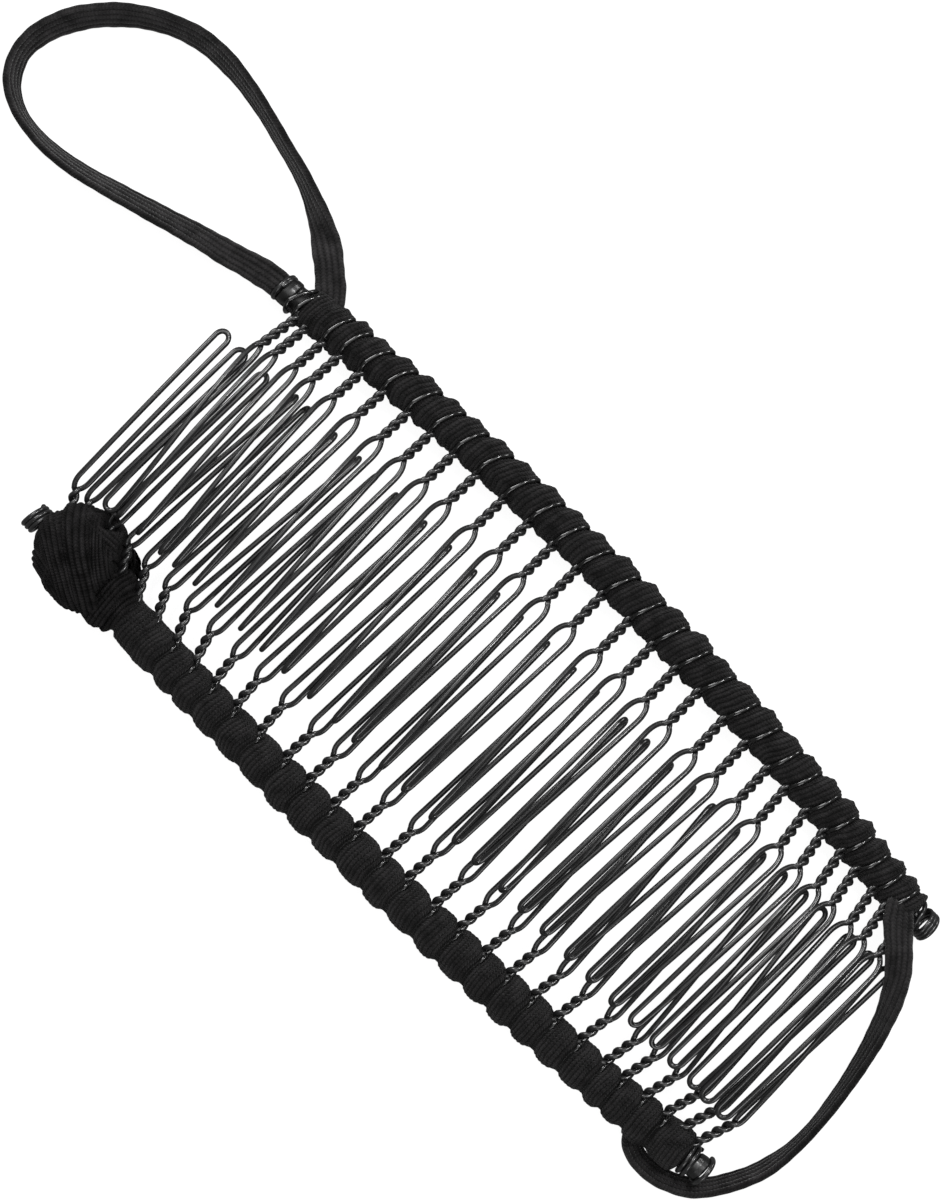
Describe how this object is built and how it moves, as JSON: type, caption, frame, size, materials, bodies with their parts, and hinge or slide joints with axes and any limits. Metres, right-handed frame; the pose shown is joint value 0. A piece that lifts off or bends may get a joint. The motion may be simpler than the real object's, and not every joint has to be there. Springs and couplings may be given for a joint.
{
  "type": "interlocking comb banana hair clip",
  "caption": "Stretch banana hair clip: two arched wire combs with interlacing looped teeth, spines wound in black elastic, a knot at one end and an elastic loop that hooks over it.",
  "frame": {"origin": "on the resting surface under the middle of the combs' box, measured without the free elastic", "axes": "+X along the combs towards the linked end, +Y from the lower comb to the upper comb, +Z away from the surface that the clip lies on"},
  "size_m": [0.2208, 0.0856, 0.0142],
  "materials": {
    "black_wire": "glossy black lacquered steel wire",
    "black_elastic": "matt ribbed flat braided elastic"
  },
  "bodies": {
    "root": {"upper_comb_wire": "black_wire", "lower_comb_wire": "black_wire", "upper_winding": "black_elastic", "lower_winding": "black_elastic", "knot": "black_elastic", "elastic_loop": "black_elastic", "elastic_link": "black_elastic"}
  },
  "joints": []
}
